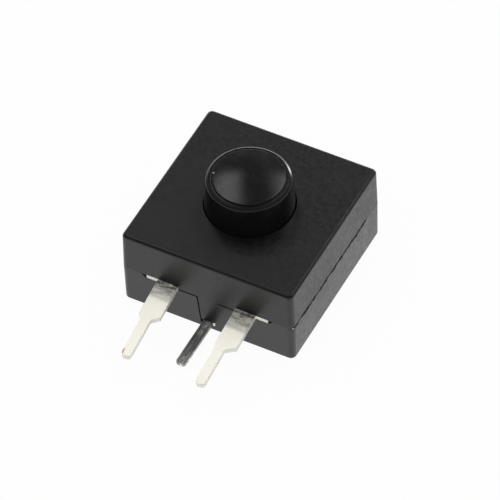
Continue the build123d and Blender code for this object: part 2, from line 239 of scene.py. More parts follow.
def feed(tree, node, inputs):
    """Gives inputs of a node, by name or place, a link from a socket or a plain value."""
    for key, term in inputs.items():
        if isinstance(term, bpy.types.NodeSocket):
            tree.links.new(term, node.inputs[key])
        else:
            node.inputs[key].default_value = term


def add_node(tree, kind, inputs=None, **settings):
    """New node with its settings and its inputs."""
    node = tree.nodes.new(kind)
    for key, value in settings.items():
        setattr(node, key, value)
    feed(tree, node, inputs or {})
    return node


def maths(tree, operation, *terms, clamp=False):
    """Result of a math node; each term is a socket or a number."""
    return add_node(tree, "ShaderNodeMath", dict(enumerate(terms)), operation=operation,
                    use_clamp=clamp).outputs[0]


def product(tree, first, *others):
    """Product of sockets and numbers."""
    for term in others:
        first = maths(tree, "MULTIPLY", first, term)
    return first


def remap(tree, value, low, high, to_low=0.0, to_high=1.0, run="SMOOTHSTEP"):
    """A value moved from one range to another."""
    inputs = dict(enumerate((value, low, high, to_low, to_high)))
    return add_node(tree, "ShaderNodeMapRange", inputs, interpolation_type=run).outputs["Result"]


def split(tree, vector):
    """The three parts of a vector."""
    return tuple(add_node(tree, "ShaderNodeSeparateXYZ", {0: vector}).outputs)


def scaled(tint, share):
    """A colour made darker or paler by a share."""
    return tuple(share * part for part in tint)


def blended(tree, factor, first, second):
    """Mix of two colours; each is a socket or a colour."""
    first, second = (term if isinstance(term, bpy.types.NodeSocket) else (*term, 1.0)
                     for term in (first, second))
    return add_node(tree, "ShaderNodeMix", {"Factor": factor, 6: first, 7: second},
                    data_type="RGBA").outputs[2]


def noise(tree, vector, scale, detail, roughness=0.55, distortion=0.0):
    """Value of a noise texture, in cycles for each metre."""
    return add_node(tree, "ShaderNodeTexNoise", {
        "Vector": vector, "Scale": scale, "Detail": detail, "Roughness": roughness,
        "Distortion": distortion}).outputs["Fac"]


def new_group(name, inputs, outputs, kind="ShaderNodeTree"):
    """Empty group with its sockets. Returns the tree, its inputs and the node of its results."""
    tree = bpy.data.node_groups.new(name, kind)
    for label, socket_type, default in inputs:
        socket = tree.interface.new_socket(label, in_out="INPUT", socket_type=socket_type)
        if default is not None:
            socket.default_value = default
    for label, socket_type in outputs:
        tree.interface.new_socket(label, in_out="OUTPUT", socket_type=socket_type)
    return tree, tree.nodes.new("NodeGroupInput").outputs, tree.nodes.new("NodeGroupOutput")


def built_once(build):
    """Lets a function that builds a group give the same group at every call."""
    def group():
        name = build.__name__.replace("_", " ")
        return bpy.data.node_groups.get(name) or build(name)
    return group


def use_group(tree, group, vector, inputs=None):
    """Places a shader group and feeds it the object's coordinates. Returns its outputs."""
    return add_node(tree, "ShaderNodeGroup", {"Vector": vector, **(inputs or {})},
                    node_tree=group).outputs


# ---- shader groups -----------------------------------------------------------------------
@built_once
def moulded_grain(name):
    """Satin texture of a spark-eroded mould: fine height, soft mottle and broad flow marks."""
    tree, given, result = new_group(
        name, [("Vector", VECTOR, None), ("Grain", FLOAT, 9000.0), ("Mottle", FLOAT, 3400.0)],
        [("Height", FLOAT), ("Mottle", FLOAT), ("Flow", FLOAT)])
    vector, grain = given["Vector"], given["Grain"]
    fine = add_node(tree, "ShaderNodeTexVoronoi",
                    {"Vector": vector, "Scale": grain, "Smoothness": 0.6}, feature="SMOOTH_F1")
    soft = noise(tree, vector, grain, 2.0, 0.6)
    broad = noise(tree, vector, given["Mottle"], 4.0, 0.62, 0.3)
    flow = noise(tree, vector, 170.0, 2.0, 0.5, 1.2)
    feed(tree, result, {
        "Height": maths(tree, "MULTIPLY_ADD", fine.outputs["Distance"], 0.45, soft),
        "Mottle": remap(tree, broad, 0.32, 0.68),
        "Flow": remap(tree, flow, 0.35, 0.65)})
    return tree


@built_once
def dust_specks(name):
    """Mask of scattered specks and short lint: one in some of the cells of a grid."""
    tree, given, result = new_group(
        name, [("Vector", VECTOR, None), ("Cells", FLOAT, 800.0), ("Share", FLOAT, 0.2),
               ("Speck", FLOAT, 0.06)],
        [("Mask", FLOAT)])
    vector = given["Vector"]
    wander = add_node(tree, "ShaderNodeTexNoise",
                      {"Vector": vector, "Scale": 5200.0, "Detail": 2.0})
    shift = add_node(tree, "ShaderNodeVectorMath",
                     {0: wander.outputs["Color"], 1: (0.5, 0.5, 0.5)}, operation="SUBTRACT")
    small = add_node(tree, "ShaderNodeVectorMath", {0: shift.outputs[0], "Scale": 0.16 * MM},
                     operation="SCALE")
    spot_place = add_node(tree, "ShaderNodeVectorMath", {0: vector, 1: small.outputs[0]},
                          operation="ADD")
    cells = add_node(tree, "ShaderNodeTexVoronoi",
                     {"Vector": spot_place.outputs[0], "Scale": given["Cells"]}, feature="F1")
    draws = add_node(tree, "ShaderNodeSeparateColor", {0: cells.outputs["Color"]}).outputs
    chosen = maths(tree, "LESS_THAN", draws[0], given["Share"])
    size = product(tree, given["Speck"], maths(tree, "ADD", draws[1], 0.4))
    from_middle = maths(tree, "DIVIDE", cells.outputs["Distance"], size)
    strength = maths(tree, "MULTIPLY_ADD", draws[2], 0.8, 0.2)
    spot = remap(tree, from_middle, 0.6, 1.1, 1.0, 0.0)
    feed(tree, result, {"Mask": product(tree, chosen, spot, strength)})
    return tree


@built_once
def single_mark(name):
    """Mask of one small mark, such as a grain of dust or a painted glint, at a place on the piece.
    """
    tree, given, result = new_group(
        name, [("Vector", VECTOR, None), ("Place", VECTOR, None), ("Size", FLOAT, 0.06 * MM)],
        [("Mask", FLOAT)])
    gap = add_node(tree, "ShaderNodeVectorMath", {0: given["Vector"], 1: given["Place"]},
                   operation="DISTANCE")
    share = maths(tree, "DIVIDE", gap.outputs["Value"], given["Size"])
    ragged = maths(tree, "MULTIPLY_ADD", noise(tree, given["Vector"], 16000.0, 2.0), 0.8, share)
    feed(tree, result, {"Mask": remap(tree, ragged, 1.0, 1.4, 1.0, 0.0)})
    return tree


@built_once
def parting_line(name):
    """Uneven ledge where cover and base meet, along the sides and faint at the back; its mask
    places a painted shadow of the gap.
    """
    tree, given, result = new_group(
        name, [("Vector", VECTOR, None), ("Level", FLOAT, 3.0 * MM), ("Width", FLOAT, 0.2 * MM),
               ("Front", FLOAT, -5.9 * MM), ("Back", FLOAT, 4.4 * MM)],
        [("Mask", FLOAT), ("Height", FLOAT)])
    _, along, up = split(tree, given["Vector"])
    waver = maths(tree, "SUBTRACT", noise(tree, given["Vector"], 1900.0, 4.0, 0.7), 0.5)
    level = maths(tree, "MULTIPLY_ADD", waver, 0.22 * MM, given["Level"])
    below = maths(tree, "SUBTRACT", level, up)
    broken = remap(tree, noise(tree, given["Vector"], 1300.0, 4.0, 0.75), 0.38, 0.62, 0.4, 1.25)
    to_back = maths(tree, "SUBTRACT", given["Back"], along)
    fading = remap(tree, to_back, 0.0, 0.7 * MM, 0.15, 1.0)
    share = maths(tree, "DIVIDE", below, product(tree, given["Width"], broken, fading))
    clear = maths(tree, "GREATER_THAN", along, given["Front"])
    ramp = maths(tree, "ADD", share, 0.4, clamp=True)
    feed(tree, result, {
        "Mask": product(tree, remap(tree, share, -0.6, -0.1),
                        remap(tree, share, 0.7, 1.3, 1.0, 0.0), clear),
        "Height": product(tree, fading, clear, given["Width"], ramp)})
    return tree


@built_once
def rolled_metal(name):
    """Rolling streaks along Y with fine pits, for the sheet that the terminals are punched from."""
    tree, given, result = new_group(
        name, [("Vector", VECTOR, None), ("Streaks", FLOAT, 2600.0), ("Cloud", FLOAT, 700.0)],
        [("Streak", FLOAT), ("Cloud", FLOAT), ("Height", FLOAT)])
    vector = given["Vector"]
    drawn = add_node(tree, "ShaderNodeMapping", {"Vector": vector, "Scale": (1.0, 0.14, 1.0)})
    lines = noise(tree, drawn.outputs[0], given["Streaks"], 5.0, 0.7)
    cloud = noise(tree, vector, given["Cloud"], 5.0, 0.66, 0.8)
    pits = noise(tree, vector, 9000.0, 2.0)
    feed(tree, result, {
        "Streak": remap(tree, lines, 0.3, 0.7),
        "Cloud": remap(tree, cloud, 0.3, 0.7),
        "Height": maths(tree, "MULTIPLY_ADD", pits, 0.4, lines)})
    return tree


# ---- finishes ----------------------------------------------------------------------------
def new_material(name):
    """Material with only a Principled shader. Returns it, its tree, shader and coordinates."""
    material = bpy.data.materials.new(name)
    material.use_nodes = True
    tree = material.node_tree
    vector = add_node(tree, "ShaderNodeTexCoord").outputs["Object"]
    return material, tree, tree.nodes["Principled BSDF"], vector


def add_bump(tree, shader, height, strength, distance, ledge=None):
    """Bump of the surface by a height, over a ledge whose height is in metres."""
    bump = add_node(tree, "ShaderNodeBump",
                    {"Height": height, "Strength": strength, "Distance": distance})
    if ledge is not None:
        step = add_node(tree, "ShaderNodeBump", {"Height": ledge, "Strength": 1.0, "Distance": 1.0})
        feed(tree, bump, {"Normal": step.outputs["Normal"]})
    feed(tree, shader, {"Normal": bump.outputs["Normal"]})


def moulding_finish(name, tint, rough, dust_share):
    """Black moulded plastic with its grain, flow marks and dust, a painted glint and a painted seam
    shadow.
    """
    material, tree, shader, vector = new_material(name)
    grain = use_group(tree, moulded_grain(), vector)
    specks = use_group(tree, dust_specks(), vector, {"Share": dust_share})["Mask"]
    parting = use_group(tree, parting_line(), vector)
    corner_glint = use_group(tree, single_mark(), vector, {"Place": CORNER_GLINT, "Size": CORNER_GLINT_SIZE})["Mask"]
    body = blended(tree, grain["Mottle"], scaled(tint, 0.8), scaled(tint, 1.35))
    # painted shadow along the parting line
    body = blended(tree, parting["Mask"], body, SEAM_SHADOW)
    body = blended(tree, specks, body, colours().dust)
    # painted glint of a small burr at the front corner
    body = blended(tree, corner_glint, body, CORNER_GLINT_COLOUR)
    sheen = maths(tree, "MULTIPLY_ADD", grain["Mottle"], 0.12, rough - 0.06)
    sheen = maths(tree, "MULTIPLY_ADD", grain["Flow"], 0.04, sheen)
    sheen = maths(tree, "MULTIPLY_ADD", parting["Mask"], 0.5, sheen, clamp=True)
    feed(tree, shader, {"Base Color": body, "Roughness": sheen, "IOR": 1.52})
    add_bump(tree, shader, grain["Height"], 0.20, 12 * MICRON, parting["Height"])
    return material


def button_finish():
    """Polished black moulding with fine dust and one larger grain of it."""
    material, tree, shader, vector = new_material("button_black")
    grain = use_group(tree, moulded_grain(), vector, {"Grain": 14000.0, "Mottle": 2100.0})
    specks = use_group(tree, dust_specks(), vector,
                       {"Cells": 1100.0, "Share": 0.07, "Speck": 0.05})["Mask"]
    dust = use_group(tree, single_mark(), vector,
                     {"Place": DUST_GRAIN, "Size": DUST_GRAIN_SIZE})["Mask"]
    tint = colours().button
    body = blended(tree, grain["Flow"], scaled(tint, 0.8), scaled(tint, 1.3))
    body = blended(tree, specks, body, colours().dust)
    body = blended(tree, dust, body, DUST_GRAIN_COLOUR)
    sheen = maths(tree, "MULTIPLY_ADD", grain["Mottle"], 0.09, 0.115)
    sheen = maths(tree, "MULTIPLY_ADD", grain["Flow"], 0.04, sheen)
    feed(tree, shader, {"Base Color": body, "Roughness": sheen, "IOR": 1.5})
    add_bump(tree, shader, grain["Height"], 0.10, 6 * MICRON)
    return material


def rotor_finish():
    """Natural white moulding with a waxy sheen."""
    material, tree, shader, vector = new_material("rotor_white")
    grain = use_group(tree, moulded_grain(), vector, {"Grain": 11000.0})
    tint = colours().rotor
    feed(tree, shader, {
        "Base Color": blended(tree, grain["Flow"], scaled(tint, 0.93), tint),
        "Roughness": maths(tree, "MULTIPLY_ADD", grain["Mottle"], 0.1, 0.34),
        "Subsurface Weight": 0.25,
        "Subsurface Radius": (0.6 * MM, 0.5 * MM, 0.4 * MM),
        "Subsurface Scale": 1.0})
    add_bump(tree, shader, grain["Height"], 0.2, 10 * MICRON)
    return material


def level_share(tree):
    """How level a surface lies: 1 on the flat faces of a pin and 0 on its sheared sides."""
    normal = add_node(tree, "ShaderNodeTexCoord").outputs["Normal"]
    return maths(tree, "ABSOLUTE", split(tree, normal)[2])


def rolled_edge(tree):
    """Share of a flat pin's rounded edge, between its faces and its sheared sides."""
    level = level_share(tree)
    return product(tree, remap(tree, level, 0.96, 0.82), remap(tree, level, 0.1, 0.35))


def tin_finish():
    """Bright tin plating, darker and rougher near the housing, with painted dark reflections on its
    rounded edges, and bare along one side of the left tip.
    """
    material, tree, shader, vector = new_material("tinned_pin")
    metal = use_group(tree, rolled_metal(), vector)
    across, along, _ = split(tree, vector)
    front = node_low("cover").y
    smeared = add_node(tree, "ShaderNodeMapping", {"Vector": vector, "Scale": (0.32, 1.0, 1.0)})
    root_streaks = noise(tree, smeared.outputs[0], 5600.0, 5.0, 0.72)
    # the darker root ends in a ragged line, a little further out on the right pin
    further = remap(tree, across, 0.0, 1.0 * MM, 0.0, 0.18 * MM)
    ragged = maths(tree, "MULTIPLY_ADD", root_streaks, 0.8 * MM, maths(tree, "ADD", along, further))
    root = remap(tree, ragged, front - 0.98 * MM, front - 0.68 * MM)
    deeper = remap(tree, ragged, front - 0.7 * MM, front + 0.2 * MM, 0.55, 1.0)
    thin = remap(tree, root_streaks, 0.38, 0.62, 1.0, 0.42)
    darker_root = product(tree, root, thin, deeper, remap(tree, level_share(tree), 0.3, 0.7))
    tip, side = node_low("left_terminal").y, -3.02 * MM
    bare = product(tree, remap(tree, along, tip + 0.55 * MM, tip + 0.35 * MM),
                   remap(tree, across, side, side - 0.06 * MM))
    body = blended(tree, darker_root, colours().tin, ROOT_DARK_TONE)
    # painted dark reflection along the pins' rounded edges
    body = blended(tree, rolled_edge(tree), body, EDGE_DARK_REFLECTION)
    body = blended(tree, bare, body, colours().bare_metal)
    sheen = maths(tree, "MULTIPLY_ADD", metal["Cloud"], 0.06, 0.30)
    sheen = maths(tree, "MULTIPLY_ADD", darker_root, 0.1, sheen)
    feed(tree, shader, {"Base Color": body, "Roughness": sheen, "Metallic": 0.2})
    height = maths(tree, "MULTIPLY_ADD", darker_root, root_streaks, metal["Height"])
    add_bump(tree, shader, height, 0.05, 6 * MICRON)
    return material


def dull_tin_finish():
    """Plating of the middle pin: dull and scratched, with a painted highlight on its barb at the
    wall.
    """
    material, tree, shader, vector = new_material("middle_pin_metal")
    metal = use_group(tree, rolled_metal(), vector, {"Streaks": 3600.0, "Cloud": 2600.0})
    tint = colours().middle_tin
    flecks = product(tree, remap(tree, metal["Streak"], 0.45, 0.75),
                     remap(tree, metal["Cloud"], 0.4, 0.8))
    barb_glint = remap(tree, split(tree, vector)[0], 0.33 * MM, 0.40 * MM)
    body = blended(tree, metal["Streak"], scaled(tint, 0.35), tint)
    body = blended(tree, flecks, body, FLECK_COLOUR)
    # painted highlight on the barb beside the wall
    body = blended(tree, barb_glint, body, BARB_GLINT_COLOUR)
    sheen = maths(tree, "MULTIPLY_ADD", metal["Streak"], 0.15, 0.22)
    feed(tree, shader, {"Base Color": body, "Roughness": sheen, "Metallic": 0.6})
    add_bump(tree, shader, metal["Height"], 0.8, 30 * MICRON)
    return material


def sheet_finish(name, tint, rough):
    """Rolled or drawn metal of the inner pieces."""
    material, tree, shader, vector = new_material(name)
    metal = use_group(tree, rolled_metal(), vector, {"Streaks": 3200.0, "Cloud": 900.0})
    body = blended(tree, metal["Cloud"], scaled(tint, 0.78), tint)
    sheen = maths(tree, "MULTIPLY_ADD", metal["Streak"], 0.16, rough)
    feed(tree, shader, {"Base Color": body, "Roughness": sheen, "Metallic": 1.0})
    add_bump(tree, shader, metal["Height"], 0.2, 10 * MICRON)
    return material


# ---- mesh helpers ------------------------------------------------------------------------
def merged_copy(node):
    """Copy of a solid with its loose triangles joined and its flat faces made whole."""
    form = bmesh.new()
    form.from_mesh(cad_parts[node].data)
    bmesh.ops.remove_doubles(form, verts=form.verts[:], dist=WELD)
    bmesh.ops.dissolve_limit(form, angle_limit=FLAT, verts=form.verts[:], edges=form.edges[:])
    return form


def new_piece(name, form, material):
    """Object at the origin that holds a form."""
    mesh = bpy.data.meshes.new(name)
    form.to_mesh(mesh)
    form.free()
    piece = bpy.data.objects.new(name, mesh)
    bpy.context.scene.collection.objects.link(piece)
    mesh.materials.append(material)
    return piece


def settle(piece):
    """Makes the result of the piece's modifiers its plain mesh."""
    graph = bpy.context.evaluated_depsgraph_get()
    plain = bpy.data.meshes.new_from_object(piece.evaluated_get(graph),
                                            preserve_all_data_layers=True, depsgraph=graph)
    piece.modifiers.clear()
    piece.data = plain
    plain.name = piece.name


def shade(piece, step=SHARP_STEP):
    """Shades a piece smoothly, apart from steps sharper than an angle in degrees."""
    piece.data.shade_smooth()
    piece.data.set_sharp_from_angle(angle=math.radians(step))


def round_edges(piece, width, segments=2, sharper_than=28.0):
    """Rounds the edges that are sharper than an angle and shades the flat faces evenly."""
    shade(piece)
    bevel = piece.modifiers.new("rounded edges", "BEVEL")
    bevel.width = width
    bevel.segments = segments
    bevel.limit_method = "ANGLE"
    bevel.angle_limit = math.radians(sharper_than)
    bevel.use_clamp_overlap = True
    bevel.miter_outer = "MITER_ARC"
    even = piece.modifiers.new("even shading", "WEIGHTED_NORMAL")
    even.weight = 80
    settle(piece)


def place(piece, body, finish, *nodes):
    """Lets a piece ride on a body and hides the solids that it stands for."""
    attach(piece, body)
    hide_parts(*nodes)


def dressed_solid(node, body, finish, material, edge, **rounding):
    """Finished copy of one solid."""
    piece = new_piece(node + "_finish", merged_copy(node), material)
    round_edges(piece, edge, **rounding)
    place(piece, body, finish, node)


def turned(profile, steps):
    """Closed form turned about the button's axis from (radius, height) points."""
    form = bmesh.new()
    verts = [form.verts.new((radius, 0.0, height)) for radius, height in profile]
    edges = [form.edges.new(pair) for pair in zip(verts, verts[1:])]
    bmesh.ops.spin(form, geom=verts + edges, axis=(0, 0, 1), cent=(0, 0, 0), angle=FULL_TURN,
                   steps=steps)
    bmesh.ops.remove_doubles(form, verts=form.verts[:], dist=WELD)
    bmesh.ops.dissolve_degenerate(form, edges=form.edges[:], dist=WELD)
    bmesh.ops.recalc_face_normals(form, faces=form.faces[:])
    return form


def swept(centre, radius, start, end, steps):
    """Points of the shorter arc about a centre, from one point to another."""
    (x, y), (sx, sy), (ex, ey) = centre, start, end
    first = math.atan2(sy - y, sx - x)
    turn = math.remainder(math.atan2(ey - y, ex - x) - first, FULL_TURN)
    angles = [first + turn * k / steps for k in range(steps + 1)]
    return [(x + radius * math.cos(angle), y + radius * math.sin(angle)) for angle in angles]


def arc(start, through, end, steps):
    """Points on the circle through three points, from the first to the last."""
    (ax, ay), (bx, by), (cx, cy) = start, through, end
    d = 2 * (ax * (by - cy) + bx * (cy - ay) + cx * (ay - by))
    a2, b2, c2 = ax * ax + ay * ay, bx * bx + by * by, cx * cx + cy * cy
    ux = (a2 * (by - cy) + b2 * (cy - ay) + c2 * (ay - by)) / d
    uy = (a2 * (cx - bx) + b2 * (ax - cx) + c2 * (bx - ax)) / d
    return swept((ux, uy), math.hypot(ax - ux, ay - uy), start, end, steps)


def rounded_corner(before, corner, after, radius, steps):
    """Points of the arc that rounds the corner between two straight runs."""
    before, corner, after = Vector(before), Vector(corner), Vector(after)
    back, on = (before - corner).normalized(), (after - corner).normalized()
    half = back.angle(on) / 2
    centre = corner + (back + on).normalized() * (radius / math.sin(half))
    start = corner + back * (radius / math.tan(half))
    end = corner + on * (radius / math.tan(half))
    return swept(centre, radius, start, end, steps)


def sector(start, span, inner, outer, low, rise, high, steps=6):
    """Block of a ring's sector, whose underside rises evenly over the span."""
    form = bmesh.new()
    rows = []
    for k in range(steps + 1):
        angle = start + span * k / steps
        under = low + rise * k / steps
        ends = [(inner, under), (outer, under), (outer, high), (inner, high)]
        rows.append([form.verts.new((r * math.cos(angle), r * math.sin(angle), z))
                     for r, z in ends])
    for here, after in zip(rows, rows[1:]):
        for k in range(4):
            form.faces.new((here[k], here[(k + 1) % 4], after[(k + 1) % 4], after[k]))
    form.faces.new(rows[0][::-1])
    form.faces.new(rows[-1])
    bmesh.ops.recalc_face_normals(form, faces=form.faces[:])
    return form


# ---- geometry node trees -----------------------------------------------------------------
def new_shape_group(name, inputs):
    """Empty geometry group with its inputs. Returns the tree, its inputs and its output node."""
    return new_group(name, [("Geometry", GEOMETRY, None), *inputs, ("Material", MATERIAL, None)],
                     [("Geometry", GEOMETRY)], kind="GeometryNodeTree")


def finish_tree(tree, shape, given, result):
    """Ends a tree: its instances are made real and get the material."""
    real = add_node(tree, "GeometryNodeRealizeInstances", {0: shape})
    painted = add_node(tree, "GeometryNodeSetMaterial",
                       {"Geometry": real.outputs[0], "Material": given["Material"]})
    feed(tree, result, {"Geometry": painted.outputs[0]})
    return tree


@built_once
def ring_of_copies(name):
    """Copies of the object's own mesh, evenly turned about the button's axis."""
    tree, given, result = new_shape_group(name, [("Count", "NodeSocketInt", 12)])
    points = add_node(tree, "GeometryNodePoints", {"Count": given["Count"]})
    index = add_node(tree, "GeometryNodeInputIndex")
    step = maths(tree, "DIVIDE", FULL_TURN, given["Count"])
    turn = add_node(tree, "ShaderNodeCombineXYZ", {"Z": product(tree, index.outputs[0], step)})
    copies = add_node(tree, "GeometryNodeInstanceOnPoints", {
        "Points": points.outputs[0], "Instance": given["Geometry"], "Rotation": turn.outputs[0]})
    return finish_tree(tree, copies.outputs[0], given, result)


@built_once
def wound_wire(name):
    """Round wire wound in a helix that flattens into a closed turn at each end."""
    tree, given, result = new_shape_group(
        name, [("Turns", FLOAT, 3.0), ("Radius", FLOAT, 1.2 * MM), ("Low", FLOAT, 0.0),
               ("High", FLOAT, 2.0 * MM), ("Wire", FLOAT, 0.1 * MM)])
    radius, wire = given["Radius"], given["Wire"]
    line = add_node(tree, "GeometryNodeCurvePrimitiveLine")
    divided = add_node(tree, "GeometryNodeResampleCurve", {"Curve": line.outputs[0], "Count": 260})
    along = add_node(tree, "GeometryNodeSplineParameter").outputs["Factor"]
    turns = maths(tree, "ADD", given["Turns"], 2.0)
    angle = product(tree, along, turns, FULL_TURN)
    # the first and the last turn lie nearly level; between them the wire climbs evenly
    closed = maths(tree, "DIVIDE", 0.9, turns)
    open_end = maths(tree, "SUBTRACT", 1.0, closed)
    first = maths(tree, "ADD", given["Low"], wire)
    last = maths(tree, "SUBTRACT", given["High"], wire)
    low_share = maths(tree, "DIVIDE", along, closed, clamp=True)
    lowest = maths(tree, "MULTIPLY_ADD", low_share, wire, first)
    past = maths(tree, "SUBTRACT", along, open_end)
    high_share = maths(tree, "SUBTRACT", maths(tree, "DIVIDE", past, closed, clamp=True), 1.0)
    highest = maths(tree, "MULTIPLY_ADD", high_share, wire, last)
    climb = remap(tree, along, closed, open_end, run="LINEAR")
    gap = maths(tree, "SUBTRACT", highest, lowest)
    spot = add_node(tree, "ShaderNodeCombineXYZ", {
        "X": product(tree, maths(tree, "COSINE", angle), radius),
        "Y": product(tree, maths(tree, "SINE", angle), radius),
        "Z": maths(tree, "MULTIPLY_ADD", gap, climb, lowest)})
    moved = add_node(tree, "GeometryNodeSetPosition",
                     {"Geometry": divided.outputs[0], "Position": spot.outputs[0]})
    section = add_node(tree, "GeometryNodeCurvePrimitiveCircle", {"Resolution": 12, "Radius": wire})
    tube = add_node(tree, "GeometryNodeCurveToMesh", {
        "Curve": moved.outputs[0], "Profile Curve": section.outputs[0], "Fill Caps": True})
    return finish_tree(tree, tube.outputs[0], given, result)


def shape_by_tree(piece, tree, values):
    """Runs a geometry tree on a piece with its inputs set by name, and keeps the plain mesh."""
    modifier = piece.modifiers.new(tree.name, "NODES")
    modifier.node_group = tree
    for item in tree.interface.items_tree:
        if item.item_type == "SOCKET" and item.in_out == "INPUT" and item.name in values:
            modifier[item.identifier] = values[item.name]
    settle(piece)


def ring_of(form, count, material):
    """Form made of evenly turned copies of one form."""
    piece = new_piece("copies", form, material)
    shape_by_tree(piece, ring_of_copies(), {"Count": count, "Material": material})
    ring = bmesh.new()
    ring.from_mesh(piece.data)
    bpy.data.objects.remove(piece)
    return ring


def add_form(target, extra):
    """Puts one form into another as well."""
    spare = bpy.data.meshes.new("spare")
    extra.to_mesh(spare)
    extra.free()
    target.from_mesh(spare)
    bpy.data.meshes.remove(spare)


# ---- pieces ------------------------------------------------------------------------------
class SWITCH_OT_housing(bpy.types.Operator):
    """Finish the two black mouldings of the housing"""
    bl_idname = "switch.housing"
    bl_label = "Housing"
    bl_options = {"REGISTER", "UNDO"}

    def execute(self, context):
        for node, tint, rough, dust_share in (("cover", colours().cover, 0.35, 0.10),
                                              ("base", colours().base, 0.32, 0.08)):
            finish = moulding_finish(node + "_black", tint, rough, dust_share)
            dressed_solid(node, "housing", "housing_plastic", finish, sizes().moulded_edge,
                          sharper_than=MOULDED_CORNER)
        return {"FINISHED"}


def button_profile():
    """Half section of the button from the middle of its dome to the end of its stem."""
    size = sizes()
    top = node_high("button").z
    bottom = node_low("button").z
    body_top = node_high("cover").z
    rim_top = body_top + size.rim_height
    edge = (size.dome_radius, rim_top + size.dome_edge_rise)
    inside = (size.rim_radius - size.rim_width, rim_top)
    groove = (inside[0] - GROOVE_SLOPE, rim_top - size.groove_depth)
    wall = (groove[0] - size.groove_width, groove[1])
    crest = (size.rim_radius - size.rim_bevel, rim_top)
    brow = (size.rim_radius, rim_top - size.rim_drop)
    foot = (BARREL_RADIUS, body_top)
    through = (edge[0] / 2, top - (top - edge[1]) / 4)
    run = arc((0.0, top), through, edge, DOME_STEPS)[:-2]
    line = [run[-1], edge, wall, groove, inside, crest, brow, foot]
    rounding = [(size.dome_edge_round, 6), (GROOVE_ROUNDS[0], 4), (GROOVE_ROUNDS[1], 4),
                (CREST_ROUNDS[0], 4), (CREST_ROUNDS[1], 4), (size.rim_round, 12)]
    for before, corner, after, (radius, steps) in zip(line, line[1:], line[2:], rounding):
        run += rounded_corner(before, corner, after, radius, steps)
    roof = top - BUTTON_ROOF
    return run + [foot, (BARREL_RADIUS, SKIRT_END), (POCKET_RADIUS, SKIRT_END),
                  (POCKET_RADIUS, roof), (STEM_RADIUS, roof), (STEM_RADIUS, bottom + STEM_CHAMFER),
                  (STEM_RADIUS - STEM_CHAMFER, bottom), (0.0, bottom)]


class SWITCH_OT_button(bpy.types.Operator):
    """Make the domed button with its guide lugs and cam teeth"""
    bl_idname = "switch.button"
    bl_label = "Button"
    bl_options = {"REGISTER", "UNDO"}

    def execute(self, context):
        finish = button_finish()
        count = sizes().rib_count
        half_pitch = math.pi / count
        form = turned(button_profile(), BUTTON_STEPS)
        lug = sector(half_pitch + LUG_PLAY, half_pitch - 2 * LUG_PLAY, **LUG)
        tooth = sector(half_pitch, 2 * half_pitch, **TOOTH)
        for part in (lug, tooth):
            add_form(form, ring_of(part, count, finish))
        piece = new_piece("button_finish", form, finish)
        shade(piece, MOULDED_STEP)
        place(piece, "plunger", "button_plastic", "button")
        return {"FINISHED"}


class SWITCH_OT_outer_pins(bpy.types.Operator):
    """Finish the two tinned outer terminals"""
    bl_idname = "switch.outer_pins"
    bl_label = "Outer pins"
    bl_options = {"REGISTER", "UNDO"}

    def execute(self, context):
        finish = tin_finish()
        for node in ("left_terminal", "right_terminal"):
            dressed_solid(node, "housing", "tinned_pin", finish, sizes().sheared_edge, segments=3)
        return {"FINISHED"}


class SWITCH_OT_middle_pin(bpy.types.Operator):
    """Finish the middle terminal"""
    bl_idname = "switch.middle_pin"
    bl_label = "Middle pin"
    bl_options = {"REGISTER", "UNDO"}

    def execute(self, context):
        dressed_solid("middle_terminal", "housing", "middle_pin_metal", dull_tin_finish(),
                      sizes().sheared_edge, segments=3)
        return {"FINISHED"}


class SWITCH_OT_rotor(bpy.types.Operator):
    """Finish the toothed rotor of the ratchet"""
    bl_idname = "switch.rotor"
    bl_label = "Ratchet rotor"
    bl_options = {"REGISTER", "UNDO"}

    def execute(self, context):
        dressed_solid("rotor", "ratchet_rotor", "rotor_plastic", rotor_finish(), INNER_EDGE)
        return {"FINISHED"}


class SWITCH_OT_contact_plate(bpy.types.Operator):
    """Finish the sprung contact plate"""
    bl_idname = "switch.contact_plate"
    bl_label = "Contact plate"
    bl_options = {"REGISTER", "UNDO"}

    def execute(self, context):
        bronze = sheet_finish("contact_sheet", colours().bronze, 0.22)
        dressed_solid("contact_plate", "contact_carrier", "contact_sheet", bronze, INNER_EDGE)
        return {"FINISHED"}


def rivet_profile(low, high, head, head_edge, head_low):
    """Half section of a contact rivet, from its low end. Its head stands at either end."""
    curve = [(share * head, step) for share, step in HEAD_CURVE]
    neck = [(head, head_edge), (RIVET_SHANK, head_edge)]
    if head_low:
        flare = high - FLARE_THICKNESS
        return [(0.0, low), *((radius, low + step) for radius, step in curve), *neck,
                (RIVET_SHANK, flare), (FLARE * RIVET_SHANK, flare),
                (FLARE * RIVET_SHANK, high - FLARE_CHAMFER), (FLARE_TOP * RIVET_SHANK, high),
                (0.0, high)]
    return [(0.0, low), (RIVET_SHANK, low), *reversed(neck),
            *((radius, high - step) for radius, step in reversed(curve)), (0.0, high)]


